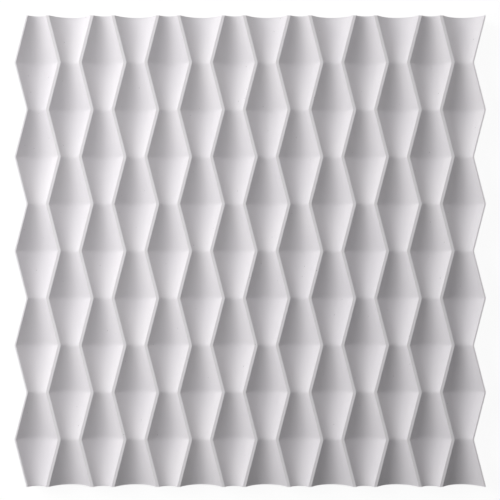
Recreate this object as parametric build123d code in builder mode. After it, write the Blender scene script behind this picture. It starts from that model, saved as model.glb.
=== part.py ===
# Relief wall panel, cast in gypsum plaster as one piece.
#
# A slab with zigzag sides carries a staggered pattern of boat-shaped pockets. The bottom of a pocket
# is a scoop with the shape of a cone, and flat walls slope from the scoop up to the ridges. A pocket
# is widest and deepest at its middle and runs at both ends into the next pocket, so each column of
# pockets is a trough that opens and closes as it climbs the panel. Between the troughs stand upright
# zigzag ridges with a narrow flat top. The slab's sides follow a ridge line, so panels set side by
# side interlock.
#
# Millimetres. The back lies in the XY plane with its middle at the origin, +Y runs up the wall and
# +Z points out of the wall.

from build123d import *
from math import atan2, cos, radians, tan
import os

# Overall size
panel_width = 500.0  # over the outermost points of the zigzag sides
panel_height = 500.0
panel_thickness = 25.0  # from the back to the ridge tops

# Ridges
trough_count = 14  # troughs across the panel, with a ridge on each side of every trough
bend_count = 10  # straight stretches of each ridge from the bottom edge to the top
ridge_swing = 12.8  # how far a ridge moves sideways in one straight stretch
ridge_land = 3.2  # flat top of a ridge, measured across the panel

# Pockets
wall_angle = 49.0  # slope of the walls in degrees from the ridge tops, square to the ridge
middle_wall = 4.2  # flat wall beside the scoop at a pocket's middle, measured across the panel
end_wall = 0.5  # the same at a pocket's ends

# Sizes that follow
ridge_pitch = (panel_width - ridge_swing) / trough_count
bend_pitch = panel_height / bend_count
wide_half = (ridge_pitch + ridge_swing - ridge_land) / 2  # half the mouth at a pocket's middle
narrow_half = (ridge_pitch - ridge_swing - ridge_land) / 2  # half the mouth at a pocket's ends
wall_slope = tan(radians(wall_angle)) * cos(atan2(ridge_swing, bend_pitch))  # fall across the panel

# The scoop touches the wall on the right along a straight line, given here by its points at the
# pocket's middle and end. The pocket's mouth is at Z = 0 and its middle is at X = Y = 0.
touch_start = Vector(wide_half - middle_wall, 0, -wall_slope * middle_wall)
touch_end = Vector(narrow_half - end_wall, bend_pitch, -wall_slope * end_wall)

# The tip of the scoop's cone is where the lines of touch on the two walls meet, past the pocket's
# end. The cone's axis is met by going square to the wall from the start of a line of touch.
cone_tip = touch_start + (touch_end - touch_start) * (touch_start.X / (touch_start.X - touch_end.X))
wall_to_axis = Vector(-1, -ridge_swing / bend_pitch, 1 / wall_slope) * touch_start.X
cone_base = touch_start + wall_to_axis
cone_height = (cone_tip - cone_base).length
cone_radius = cone_height * wall_to_axis.length / (cone_tip - touch_start).length

# The flat walls are above the plane through both lines of touch and the scoop is below it.
scoop_top = Plane(touch_start, (1, 0, 0), (0, touch_start.Z - touch_end.Z, bend_pitch))


def level_height(level):
    """Height up the wall of one bend level, counted from the bottom edge."""
    return level * bend_pitch - panel_height / 2


def ridge_line(ridge):
    """Middle line of a ridge from bottom to top. Neighbouring ridges swing opposite ways."""
    middle = (ridge - trough_count / 2) * ridge_pitch
    points = []
    for level in range(bend_count + 1):
        side = 1 if (ridge + level) % 2 == 0 else -1
        points.append((middle + side * ridge_swing / 2, level_height(level)))
    return points


def pocket_wall(side):
    """Plane of a sloping wall: level with the mouth, then tipped about the ridge edge on that side."""
    ridge_edge = Axis((side * wide_half, 0, 0), (-side * ridge_swing, bend_pitch, 0))
    wall_normal = Vector(0, 0, 1).rotate(ridge_edge, -side * wall_angle)
    return Plane(ridge_edge.position, ridge_edge.direction, wall_normal)


# Upper half of a scoop: the cone, cut off at the pocket's middle, at its end and below the walls.
with BuildPart() as scoop:
    with Locations(Plane(cone_base, (1, 0, 0), cone_tip - cone_base)):
        Cone(
            bottom_radius=cone_radius,
            top_radius=0,
            height=cone_height,
            align=(Align.CENTER, Align.CENTER, Align.MIN),
        )
    split(bisect_by=Plane.XZ, keep=Keep.BOTTOM)
    split(bisect_by=Plane.XZ.offset(-bend_pitch), keep=Keep.TOP)
    split(bisect_by=scoop_top, keep=Keep.BOTTOM)

# What one pocket takes out of the slab. The part between the walls starts as a block under the upper
# half of the mouth, deep enough for both walls to be cut from it.
with BuildPart() as pocket:
    with BuildSketch():
        with BuildLine():
            Polyline(
                (-wide_half, 0),
                (wide_half, 0),
                (narrow_half, bend_pitch),
                (-narrow_half, bend_pitch),
                close=True,
            )
        make_face()
    extrude(amount=-2 * wide_half)
    for side in (-1, 1):
        split(bisect_by=pocket_wall(side), keep=Keep.TOP)
    split(bisect_by=scoop_top, keep=Keep.TOP)
    add(scoop.part)
    mirror(about=Plane.XZ)

# A pocket's middle sits at every level where the ridges beside its trough swing apart.
pocket_middles = [
    ((trough + 0.5 - trough_count / 2) * ridge_pitch, level_height(level), panel_thickness)
    for trough in range(trough_count)
    for level in range(bend_count + 1)
    if (trough + level) % 2 == 1
]

with BuildPart() as relief_panel:
    with BuildSketch():
        with BuildLine():
            Polyline(*ridge_line(0), *reversed(ridge_line(trough_count)), close=True)
        make_face()
    extrude(amount=panel_thickness)
    with Locations(*pocket_middles):
        add(pocket.part, mode=Mode.SUBTRACT)

relief_panel.part.label = "relief_panel"

os.makedirs("parts", exist_ok=True)
export_step(relief_panel.part, "parts/relief_panel.step")
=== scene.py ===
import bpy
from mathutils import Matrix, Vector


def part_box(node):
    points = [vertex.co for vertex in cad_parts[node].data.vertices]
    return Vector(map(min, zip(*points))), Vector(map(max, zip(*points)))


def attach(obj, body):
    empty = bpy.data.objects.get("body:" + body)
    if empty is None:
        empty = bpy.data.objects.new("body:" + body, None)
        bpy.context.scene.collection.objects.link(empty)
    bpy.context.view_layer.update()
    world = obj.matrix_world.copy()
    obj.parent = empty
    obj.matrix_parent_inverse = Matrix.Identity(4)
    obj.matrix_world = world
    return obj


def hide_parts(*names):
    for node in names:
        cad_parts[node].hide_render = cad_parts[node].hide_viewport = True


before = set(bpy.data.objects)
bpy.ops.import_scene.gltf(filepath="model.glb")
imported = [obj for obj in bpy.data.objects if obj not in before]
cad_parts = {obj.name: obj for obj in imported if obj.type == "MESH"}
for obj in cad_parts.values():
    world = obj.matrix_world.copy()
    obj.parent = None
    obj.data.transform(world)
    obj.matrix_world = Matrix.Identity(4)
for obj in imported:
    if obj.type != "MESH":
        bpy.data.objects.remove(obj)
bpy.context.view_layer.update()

import math

import bpy
import numpy as np
from mathutils import Vector

print("frame loaded")

scene = bpy.context.scene
scene.view_settings.view_transform = "Standard"
perMetre = 1000  # mm


# Relief panel: one plaster casting. Sizes in mm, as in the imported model.
panel = {
    "troughs": 14,  # columns of pockets across the panel
    "bends": 10,  # straight stretches of a ridge from the bottom edge to the top
    "swing": 12.8,  # how far a ridge moves sideways in one stretch
    "land": 3.2,  # flat top of a ridge, across the panel
    "wallAngle": 49.0,  # slope of the walls in degrees, square to the ridge
    "middleWall": 4.2,  # flat wall beside the scoop where a trough is widest
    "endWall": 0.5,  # and where it is narrowest
    "bendReach": 1.2,  # a ridge turns over this length on each side of a bend
    "creaseReach": 3.2,  # and the floor of a trough over this length
    "arris": 0.15,  # rounding of a ridge's two edges
    "rim": 0.1,  # rounding of the outer edges of the face
    "backRim": 0.8,  # rounding of the outer edges of the back
    "bendRows": (0, 0.5, 1),  # grid rows on each side of a bend, in shares of bendReach
    "creaseRows": (0.7, 1, 1.5),  # the same in shares of creaseReach
    "stretchRows": (0.2, 0.35, 0.5),  # and in shares of a straight stretch
    "floorColumns": 21,  # grid columns over a trough's floor
    "floorInset": 0.35,  # from a ridge's edge to the first of them
    "arrisColumns": 4,  # grid columns over a ridge's rounded edge
    "landInset": 0.25,  # from there to the next column on the flat top
    "rimHold": 0.03,  # from the rim to a column that keeps the flat top flat
    "sideHold": 0.5,  # from both rims to lines that keep the sides flat
    "rimSteps": (30, 60, 90),  # lines round the rim, in degrees
    "backSteps": ((1, 0), (0.4, 0.2), (0, 1)),  # height and inset round the back's edge, times backRim
}

low, high = (np.array(corner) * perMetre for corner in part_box("relief_panel"))
width, height = (high - low)[:2]
pitch = (width - panel["swing"]) / panel["troughs"]
bendPitch = height / panel["bends"]
wideHalf = (pitch + panel["swing"] - panel["land"]) / 2  # half the mouth where a trough is widest
narrowHalf = wideHalf - panel["swing"]
lean = panel["swing"] / bendPitch
slope = math.tan(math.radians(panel["wallAngle"])) / math.hypot(1, lean)  # fall of a wall across the panel
turn = math.atan(slope)
arrisBack = panel["arris"] * math.tan(turn / 2)  # the rounded edge starts this far back on the flat top


# Half the mouth of a trough at height y. The distance to the nearest level where the trough is widest,
# counted in bends, is a triangle wave between 0 and 1 with its corners turned into parabolas over the
# given reach. The half mouth shrinks from widest to narrowest in step with that wave.
def halfMouth(y, trough, reach):
    reach = reach / bendPitch
    wave = np.abs(((y - low[1]) / bendPitch + trough) % 2 - 1)
    wave = np.where(wave < reach, (wave**2 + reach**2) / (2 * reach), wave)
    wave = np.where(wave > 1 - reach, 1 - ((1 - wave) ** 2 + reach**2) / (2 * reach), wave)
    return wideHalf - panel["swing"] * wave


# Height of a trough's floor from the ridge tops, at x from its middle, for a half mouth. A wall falls in
# from the ridge at a constant slope. Between the two lines where the scoop touches the walls, the floor is
# the lower side of a cone: every point on it makes the same angle at the tip with the axis, and squaring
# that gives a quadratic for the height.
def troughFloor(x, half):
    touchStart = np.array([wideHalf - panel["middleWall"], 0, -slope * panel["middleWall"]])
    touchEnd = np.array([narrowHalf - panel["endWall"], bendPitch, -slope * panel["endWall"]])
    tip = touchStart + (touchEnd - touchStart) * touchStart[0] / (touchStart[0] - touchEnd[0])
    base = touchStart + touchStart[0] * np.array([-1, -lean, 1 / slope])
    axis = (tip - base) / np.linalg.norm(tip - base)
    spread = (axis @ (tip - touchStart)) ** 2 / ((tip - touchStart) @ (tip - touchStart))  # cosine squared
    along = (wideHalf - half) / lean  # distance from the widest level
    y = along - tip[1]
    square = axis[2] ** 2 - spread
    middle = axis[1] * axis[2] * y
    rest = (axis[1] * y) ** 2 - spread * (x**2 + y**2)
    scoop = tip[2] + (np.sqrt(np.maximum(middle**2 - square * rest, 0)) - middle) / square
    touch = touchStart[0] + (touchEnd[0] - touchStart[0]) * along / bendPitch
    return np.where(np.abs(x) < touch, scoop, slope * (np.abs(x) - half))


# Height of the face from the ridge tops: flat on the ridge, then a circular arc that is tangent to the flat
# top and to the wall, then the trough's floor. The floor bends more softly than the ridges, so it is taken
# at the same share of its own half mouth.
def faceDrop(x, half, floorHalf):
    inside = half - np.abs(x)  # distance in from the ridge's edge
    arc = np.sqrt(np.maximum(panel["arris"] ** 2 - (inside + arrisBack) ** 2, 0)) - panel["arris"]
    floor = troughFloor(x / half * floorHalf, floorHalf)
    return np.where(inside < -arrisBack, 0, np.where(inside < arrisBack * math.cos(turn), arc, floor))


# Heights of the grid's rows, close together about each level where the ridges bend.
def gridRows():
    levels = low[1] + bendPitch * np.arange(panel["bends"] + 1)
    bendSteps = panel["bendReach"] * np.array(panel["bendRows"])
    creaseSteps = panel["creaseReach"] * np.array(panel["creaseRows"])
    stretchSteps = bendPitch * np.array(panel["stretchRows"])
    steps = np.concatenate([bendSteps, creaseSteps, stretchSteps])
    rows = np.add.outer(levels, np.concatenate([steps, -steps])).ravel()
    rows = np.clip(rows, low[1] + panel["rim"], high[1] - panel["rim"])
    return np.unique(rows.round(4))[:, None]  # rows that two bends share fall together


# Places of the grid's columns. Each belongs to a trough and follows its mouth at a share of the half mouth,
# from -1 at the left ridge to 1 at the right one, after an inset that is negative on the flat tops.
def gridColumns():
    ridgeMiddle = -panel["land"] / 2
    arris = panel["arris"] * np.sin(np.linspace(0, turn, panel["arrisColumns"])) - arrisBack
    rimLine = panel["rim"] + panel["rimHold"] + ridgeMiddle
    ridge = np.concatenate([[ridgeMiddle, rimLine, -arrisBack - panel["landInset"]], arris])
    side = np.ones(len(ridge))
    share = np.concatenate([-side, np.linspace(-1, 1, panel["floorColumns"]), side[1:]])
    inset = np.concatenate([ridge, np.full(panel["floorColumns"], panel["floorInset"]), ridge[:0:-1]])
    trough = np.append(np.repeat(np.arange(panel["troughs"]), len(share)), panel["troughs"] - 1)
    share = np.append(np.tile(share, panel["troughs"]), 1)
    inset = np.append(np.tile(inset, panel["troughs"]), 0)
    inset[[0, -1]] = panel["rim"] + ridgeMiddle  # the sides cut the outer ridges down their middle
    return trough, share, inset


# The face as a grid of points. A column's x is its trough's middle plus its share of the half mouth at that
# row less the inset, and the height comes from faceDrop.
def makeFace():
    rows = gridRows()
    trough, share, inset = gridColumns()
    half = halfMouth(rows, trough, panel["bendReach"])
    floorHalf = halfMouth(rows, trough, panel["creaseReach"])
    across = share * (half - inset)
    x = (low[0] + high[0]) / 2 + (trough + 0.5 - panel["troughs"] / 2) * pitch + across
    z = high[2] + faceDrop(across, half, floorHalf)
    return np.stack([x, np.broadcast_to(rows, x.shape), z], axis=-1)


# Rings that carry the face's border down to the back. Round the rim a point goes outward with the sine of
# the angle and down with one minus its cosine. Round the back's edge the outline is drawn in towards the
# panel's middle.
def makeRings(edge, outward):
    rim, backRim, hold = panel["rim"], panel["backRim"], panel["sideHold"]
    rings = []
    for angle in np.radians(panel["rimSteps"]):
        rings.append(edge + outward * rim * math.sin(angle) - [0, 0, rim * (1 - math.cos(angle))])
    side = edge + outward * rim
    rings.append(side - [0, 0, rim + hold])
    backLines = [(rise * backRim, inward * backRim) for rise, inward in panel["backSteps"]]
    for rise, inward in [(backRim + hold, 0), *backLines]:
        ring = side * (1 - 2 * inward / width)
        ring[:, 2] = low[2] + rise
        rings.append(ring)
    return rings


# The panel as one closed surface: the face, the rings round it, and a back of one strip for each row with
# one face along its top and bottom edges.
def makePanel():
    face = makeFace()
    rowCount, columnCount = face.shape[:2]
    index = np.arange(rowCount * columnCount).reshape(rowCount, columnCount)
    border = np.concatenate([index[0], index[1:, -1], index[-1, -2::-1], index[-2:0:-1, 0]])
    outward = np.zeros((len(border), 3))
    outward[np.isin(border, index[0]), 1] -= 1
    outward[np.isin(border, index[-1]), 1] += 1
    outward[np.isin(border, index[:, 0]), 0] -= 1
    outward[np.isin(border, index[:, -1]), 0] += 1
    facePoints = face.reshape(-1, 3)
    rings = makeRings(facePoints[border], outward)
    points = np.concatenate([facePoints, *rings]) / perMetre

    cells = np.stack([index[:-1, :-1], index[:-1, 1:], index[1:, 1:], index[1:, :-1]], axis=-1)
    quads = [cells.reshape(-1, 4)]
    upper = border
    for number in range(len(rings)):
        lower = index.size + number * len(border) + np.arange(len(border))
        quads.append(np.stack([upper, lower, np.roll(lower, -1), np.roll(upper, -1)], axis=-1))
        upper = lower
    shown = sum(len(part) for part in quads)

    # The last ring runs along the bottom, up the right side, back along the top and down the left side
    corner = columnCount - 1  # its point at the bottom right
    bottom = upper[: corner + 1]
    right = upper[corner : corner + rowCount]
    top = upper[corner + rowCount - 1 : 2 * corner + rowCount]
    left = np.roll(upper[::-1], 1)[:rowCount]
    quads.append(np.stack([left[1:-2], left[2:-1], right[2:-1], right[1:-2]], axis=-1))
    faces = np.concatenate(quads).tolist()
    faces.append(np.array([left[1], right[1], *bottom[::-1]]).tolist())
    faces.append(np.array([right[-2], left[-2], *top[::-1]]).tolist())

    mesh = bpy.data.meshes.new("plasterPanel")
    mesh.from_pydata(points.tolist(), [], faces)
    mesh.polygons.foreach_set("use_smooth", np.arange(len(faces)) < shown)  # the back stays flat
    mesh.update()
    piece = bpy.data.objects.new("plasterPanel", mesh)
    scene.collection.objects.link(piece)
    return piece


panelPiece = makePanel()
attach(panelPiece, "root")
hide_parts("relief_panel")
print("panel made,", len(panelPiece.data.polygons), "faces")


def linear(code):  # sRGB hex to linear
    tones = np.array([int(code[place : place + 2], 16) for place in (1, 3, 5)]) / 255
    tones = np.where(tones <= 0.04045, tones / 12.92, ((tones + 0.055) / 1.055) ** 2.4)
    return (*tones.tolist(), 1.0)


def addNode(tree, kind, sockets=None, **settings):  # a node with its settings, its sockets set or linked
    node = tree.nodes.new(kind)
    for name, value in settings.items():
        setattr(node, name, value)
    for key, value in (sockets or {}).items():
        if isinstance(value, bpy.types.NodeSocket):
            tree.links.new(value, node.inputs[key])
        else:
            node.inputs[key].default_value = value
    return node.outputs


# Cast gypsum plaster: fine plaster poured into a smooth mould and left bare. It is a matt, very slightly
# cool white with hardly any gloss. Close up it has faint clouds from drying, a fine tooth, and a few
# pinholes left by air, with painted shade in them. It is a little darker towards the bottom of the troughs,
# its ridge tops are polished a little by handling and carry a painted highlight, and it has a greyer back
# with the drag marks of the straight edge. Lengths in mm.
plaster = {
    "white": "#F0EDF0",
    "cloudWhite": "#EAE7EB",  # where it dried more slowly
    "valleyWhite": "#EBE8EC",  # darker towards the bottom of the troughs
    # Painted highlight: the ridge tops are drawn lighter than the white.
    "ridgeHighlightWhite": "#F4F1F4",
    # Painted shade: the pinholes are drawn darker than the white.
    "pinholeAndShade": "#B9B6BA",
    "backWhite": "#E2DFE0",
    "cloud": 85.0,
    "cloudRange": (0.35, 0.68),  # from clear to fully clouded, in the noise's own values
    "tooth": 1.3,  # drawn coarser than the real tooth so that it shows
    "toothHeight": 0.015,
    "toothRange": (0.3, 0.7),  # from smooth to rough, in the noise's own values
    "pinholeSpacing": 11.0,
    "pinholeRadius": 0.45,
    "pinholeDepth": 0.3,
    "troughToneDepth": (6.0, 13.0),  # below the ridge tops, from the plain white to the full darker tone
    "highlightAndPolishDepth": (0.6, 0.1),  # below the ridge tops, from none to the full painted highlight and polish
    "backHeight": (0.4, 0.1),  # up from the back, from the sides' white to the back's
    "dragLength": 70.0,
    "dragWidth": 2.5,
    "dragHeight": 0.4,
    "roughness": (0.8, 0.92),
    "rubbedGloss": 0.12,  # taken off the roughness where the ridges are rubbed
    "refraction": 1.52,
}


def makePlaster():
    material = bpy.data.materials.new("castGypsumPlaster")
    material.use_nodes = True
    tree = material.node_tree
    shader = tree.nodes["Principled BSDF"]
    place = addNode(tree, "ShaderNodeTexCoord")["Object"]
    rise = addNode(tree, "ShaderNodeSeparateXYZ", {0: place})["Z"]

    cloudScale = perMetre / plaster["cloud"]
    sockets = {"Vector": place, "Scale": cloudScale, "Detail": 4.0, "Roughness": 0.55}
    cloud = addNode(tree, "ShaderNodeTexNoise", sockets)["Fac"]
    clear, clouded = plaster["cloudRange"]
    sockets = {"Value": cloud, "From Min": clear, "From Max": clouded}
    cloud = addNode(tree, "ShaderNodeMapRange", sockets)["Result"]

    sockets = {"Vector": place, "Scale": perMetre / plaster["tooth"], "Detail": 2.0}
    tooth = addNode(tree, "ShaderNodeTexNoise", sockets)["Fac"]

    # Pinholes: the mask sinks them with a bump and paints shade in them as a darker tone.
    sockets = {"Vector": place, "Scale": perMetre / plaster["pinholeSpacing"]}
    pinDistance = addNode(tree, "ShaderNodeTexVoronoi", sockets)["Distance"]
    pinRadius = plaster["pinholeRadius"] / plaster["pinholeSpacing"]  # in spacings, as the distance is
    sockets = {"Value": pinDistance, "From Min": pinRadius, "From Max": pinRadius / 2}
    pinholeAndShade = addNode(tree, "ShaderNodeMapRange", sockets)["Result"]

    # Darker towards the bottom of the troughs, by depth below the ridge tops.
    troughToneStart, troughToneFull = ((high[2] - depth) / perMetre for depth in plaster["troughToneDepth"])
    sockets = {"Value": rise, "From Min": troughToneStart, "From Max": troughToneFull}
    valley = addNode(tree, "ShaderNodeMapRange", sockets)["Result"]
    # Ridge tops: the mask paints them lighter as a painted highlight, and makes them a little less rough as
    # real polish.
    bare, ridgeMarkFull = ((high[2] - depth) / perMetre for depth in plaster["highlightAndPolishDepth"])
    sockets = {"Value": rise, "From Min": bare, "From Max": ridgeMarkFull}
    ridgeHighlightAndPolish = addNode(tree, "ShaderNodeMapRange", sockets)["Result"]
    side, under = (level / perMetre for level in plaster["backHeight"])
    sockets = {"Value": rise, "From Min": side, "From Max": under}
    back = addNode(tree, "ShaderNodeMapRange", sockets)["Result"]

    dragScale = (perMetre / plaster["dragLength"], perMetre / plaster["dragWidth"], 1.0)
    dragPlace = addNode(tree, "ShaderNodeMapping", {"Vector": place, "Scale": dragScale})["Vector"]
    drag = addNode(tree, "ShaderNodeTexNoise", {"Vector": dragPlace, "Scale": 1.0, "Detail": 3.0})["Fac"]
    drag = addNode(tree, "ShaderNodeMath", {0: drag, 1: back}, operation="MULTIPLY")["Value"]

    colour = linear(plaster["white"])
    layers = {
        "cloudWhite": cloud,
        "valleyWhite": valley,
        "ridgeHighlightWhite": ridgeHighlightAndPolish,
        "backWhite": back,
        "pinholeAndShade": pinholeAndShade,
    }
    for tone, factor in layers.items():
        sockets = {0: factor, 6: colour, 7: linear(plaster[tone])}  # factor and the two colours
        colour = addNode(tree, "ShaderNodeMix", sockets, data_type="RGBA")[2]
    tree.links.new(colour, shader.inputs["Base Color"])

    smooth, coarse = plaster["toothRange"]
    least, most = plaster["roughness"]
    sockets = {"Value": tooth, "From Min": smooth, "From Max": coarse, "To Min": least, "To Max": most}
    rough = addNode(tree, "ShaderNodeMapRange", sockets)["Result"]
    sockets = {0: ridgeHighlightAndPolish, 1: -plaster["rubbedGloss"], 2: rough}
    rough = addNode(tree, "ShaderNodeMath", sockets, operation="MULTIPLY_ADD")["Value"]
    tree.links.new(rough, shader.inputs["Roughness"])
    shader.inputs["IOR"].default_value = plaster["refraction"]

    sockets = {"Height": tooth, "Distance": plaster["toothHeight"] / perMetre}
    normal = addNode(tree, "ShaderNodeBump", sockets)["Normal"]
    sockets = {"Height": pinholeAndShade, "Distance": plaster["pinholeDepth"] / perMetre, "Normal": normal}
    normal = addNode(tree, "ShaderNodeBump", sockets, invert=True)["Normal"]
    sockets = {"Height": drag, "Distance": plaster["dragHeight"] / perMetre, "Normal": normal}
    normal = addNode(tree, "ShaderNodeBump", sockets)["Normal"]
    tree.links.new(normal, shader.inputs["Normal"])
    return material


panelPiece.data.materials.append(makePlaster())
print("plaster made")


# 1 where something is seen directly, mirrored or through glass, and 0 where it only throws light.
def seenRays(tree):
    rays = addNode(tree, "ShaderNodeLightPath")
    sockets = {0: rays["Is Camera Ray"], 1: rays["Is Glossy Ray"]}
    seen = addNode(tree, "ShaderNodeMath", sockets, operation="ADD")["Value"]
    sockets = {0: seen, 1: rays["Is Transmission Ray"]}
    return addNode(tree, "ShaderNodeMath", sockets, operation="ADD", use_clamp=True)["Value"]


# Floor: plain pale board. What is seen of it is mostly a white glow, mixed with enough of the board itself
# to keep the panel's shadow.
floorLook = {
    "size": 40.0,  # m
    "drop": 0.0002,  # m below the panel's back
    "colour": "#B8B8B8",
    "roughness": 0.9,
    "glow": 1.24,  # strength
    "glowShare": 0.75,  # the rest is the board, so the two together come to about white
}


def makeFloor():
    half = floorLook["size"] / 2
    corners = [(x * half, y * half, -floorLook["drop"]) for x, y in ((-1, -1), (1, -1), (1, 1), (-1, 1))]
    mesh = bpy.data.meshes.new("floor")
    mesh.from_pydata(corners, [], [(0, 1, 2, 3)])
    floor = bpy.data.objects.new("floor", mesh)
    scene.collection.objects.link(floor)

    material = bpy.data.materials.new("paleFloor")
    material.use_nodes = True
    tree = material.node_tree
    shader = tree.nodes["Principled BSDF"]
    shader.inputs["Base Color"].default_value = linear(floorLook["colour"])
    shader.inputs["Roughness"].default_value = floorLook["roughness"]
    sockets = {0: seenRays(tree), 1: floorLook["glowShare"]}
    share = addNode(tree, "ShaderNodeMath", sockets, operation="MULTIPLY")["Value"]
    glow = addNode(tree, "ShaderNodeEmission", {"Strength": floorLook["glow"]})["Emission"]
    both = addNode(tree, "ShaderNodeMixShader", {0: share, 1: shader.outputs["BSDF"], 2: glow})["Shader"]
    tree.links.new(both, tree.nodes["Material Output"].inputs["Surface"])
    material.cycles.emission_sampling = "NONE"  # the glow lights nothing, so it isn't sampled as a lamp
    mesh.materials.append(material)
    return floor


makeFloor()
print("floor made")


# Light: round soft lamps about the panel's middle, in degrees, metres and watts, and a faint even sky.
lamps = {
    "key": {"azimuth": 155, "elevation": 35, "distance": 2.4, "size": 1.44, "power": 30.0},
    "overhead": {"azimuth": 180, "elevation": 60, "distance": 0.75, "size": 0.45, "power": 1.14},
    "lowTopLeft": {"azimuth": 132, "elevation": 10, "distance": 2.4, "size": 1.68, "power": 18.5},
    "lowTop": {"azimuth": 90, "elevation": 10, "distance": 2.4, "size": 1.68, "power": 5.5},
    "lowTopRight": {"azimuth": 50, "elevation": 10, "distance": 1.6, "size": 1.12, "power": 6.4},
}
sky = {
    "fill": 0.09,  # what it lights the panel with
    "seen": 1.0,  # what it looks like itself
}


def makeLight():
    for name, lamp in lamps.items():
        light = bpy.data.lights.new(name, "AREA")
        light.shape = "DISK"
        light.size = lamp["size"]
        light.energy = lamp["power"]
        azimuth = math.radians(lamp["azimuth"])
        elevation = math.radians(lamp["elevation"])
        level = math.cos(elevation)
        toward = Vector((math.cos(azimuth) * level, math.sin(azimuth) * level, math.sin(elevation)))
        holder = bpy.data.objects.new(name, light)
        holder.location = toward * lamp["distance"]
        holder.rotation_euler = toward.to_track_quat("Z", "Y").to_euler()
        holder.visible_camera = False
        scene.collection.objects.link(holder)

    world = bpy.data.worlds.new("studio")
    world.use_nodes = True
    scene.world = world
    tree = world.node_tree
    sockets = {"Value": seenRays(tree), "To Min": sky["fill"], "To Max": sky["seen"]}
    strength = addNode(tree, "ShaderNodeMapRange", sockets)["Result"]
    background = tree.nodes["Background"]
    background.inputs["Color"].default_value = (1, 1, 1, 1)
    tree.links.new(strength, background.inputs["Strength"])


makeLight()
print("light made")


# Camera: straight in front of the panel.
view = {
    "frame": 500,  # pixels, the image's width and height
    "sensor": 36,  # mm
    "distance": 1.115,  # m, from the ridge tops
    "pixelsPerMm": 0.9432,  # at the ridge tops
    "middle": (250.2, 251.1),  # pixel where the panel's middle is seen
}


def makeCamera():
    camera = bpy.data.objects.new("camera", bpy.data.cameras.new("camera"))
    frameWidth = view["frame"] / view["pixelsPerMm"] / perMetre  # m across the image at the ridge tops
    camera.data.sensor_width = view["sensor"]
    camera.data.lens = view["sensor"] * view["distance"] / frameWidth
    acrossMm = (view["middle"][0] - view["frame"] / 2) / view["pixelsPerMm"]
    upMm = (view["frame"] / 2 - view["middle"][1]) / view["pixelsPerMm"]
    camera.location = (-acrossMm / perMetre, -upMm / perMetre, high[2] / perMetre + view["distance"])
    scene.collection.objects.link(camera)
    scene.camera = camera


makeCamera()
print("camera made")
